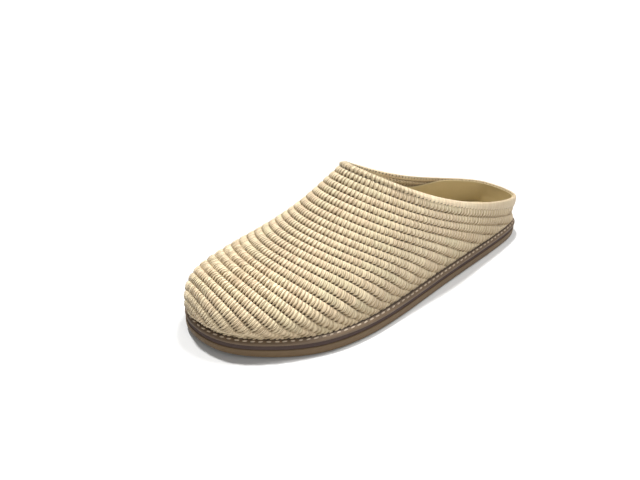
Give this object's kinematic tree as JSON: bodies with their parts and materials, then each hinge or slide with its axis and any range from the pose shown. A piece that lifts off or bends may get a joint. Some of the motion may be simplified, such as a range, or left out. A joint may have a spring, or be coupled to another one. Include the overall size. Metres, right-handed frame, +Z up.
{
  "type": "raffia mule",
  "caption": "Closed-toe mule with a ribbed raffia upper, low rim round the heel, leather lining, stitched welt and flat gum sole.",
  "frame": {"origin": "centre of the bounding box in plan, on the floor under the outsole", "axes": "+X towards the toe, +Y towards the outer (lateral) side of this left shoe, +Z up"},
  "size_m": [0.2664, 0.098, 0.0804],
  "materials": {
    "outsole": "matte tan gum rubber",
    "midsole": "matte dark brown",
    "welt": "smooth taupe leather",
    "insole": "smooth khaki leather",
    "upper": "woven natural raffia"
  },
  "bodies": {
    "root": {"outsole": "outsole", "midsole": "midsole", "welt": "welt", "insole": "insole", "upper": "upper"}
  },
  "joints": []
}
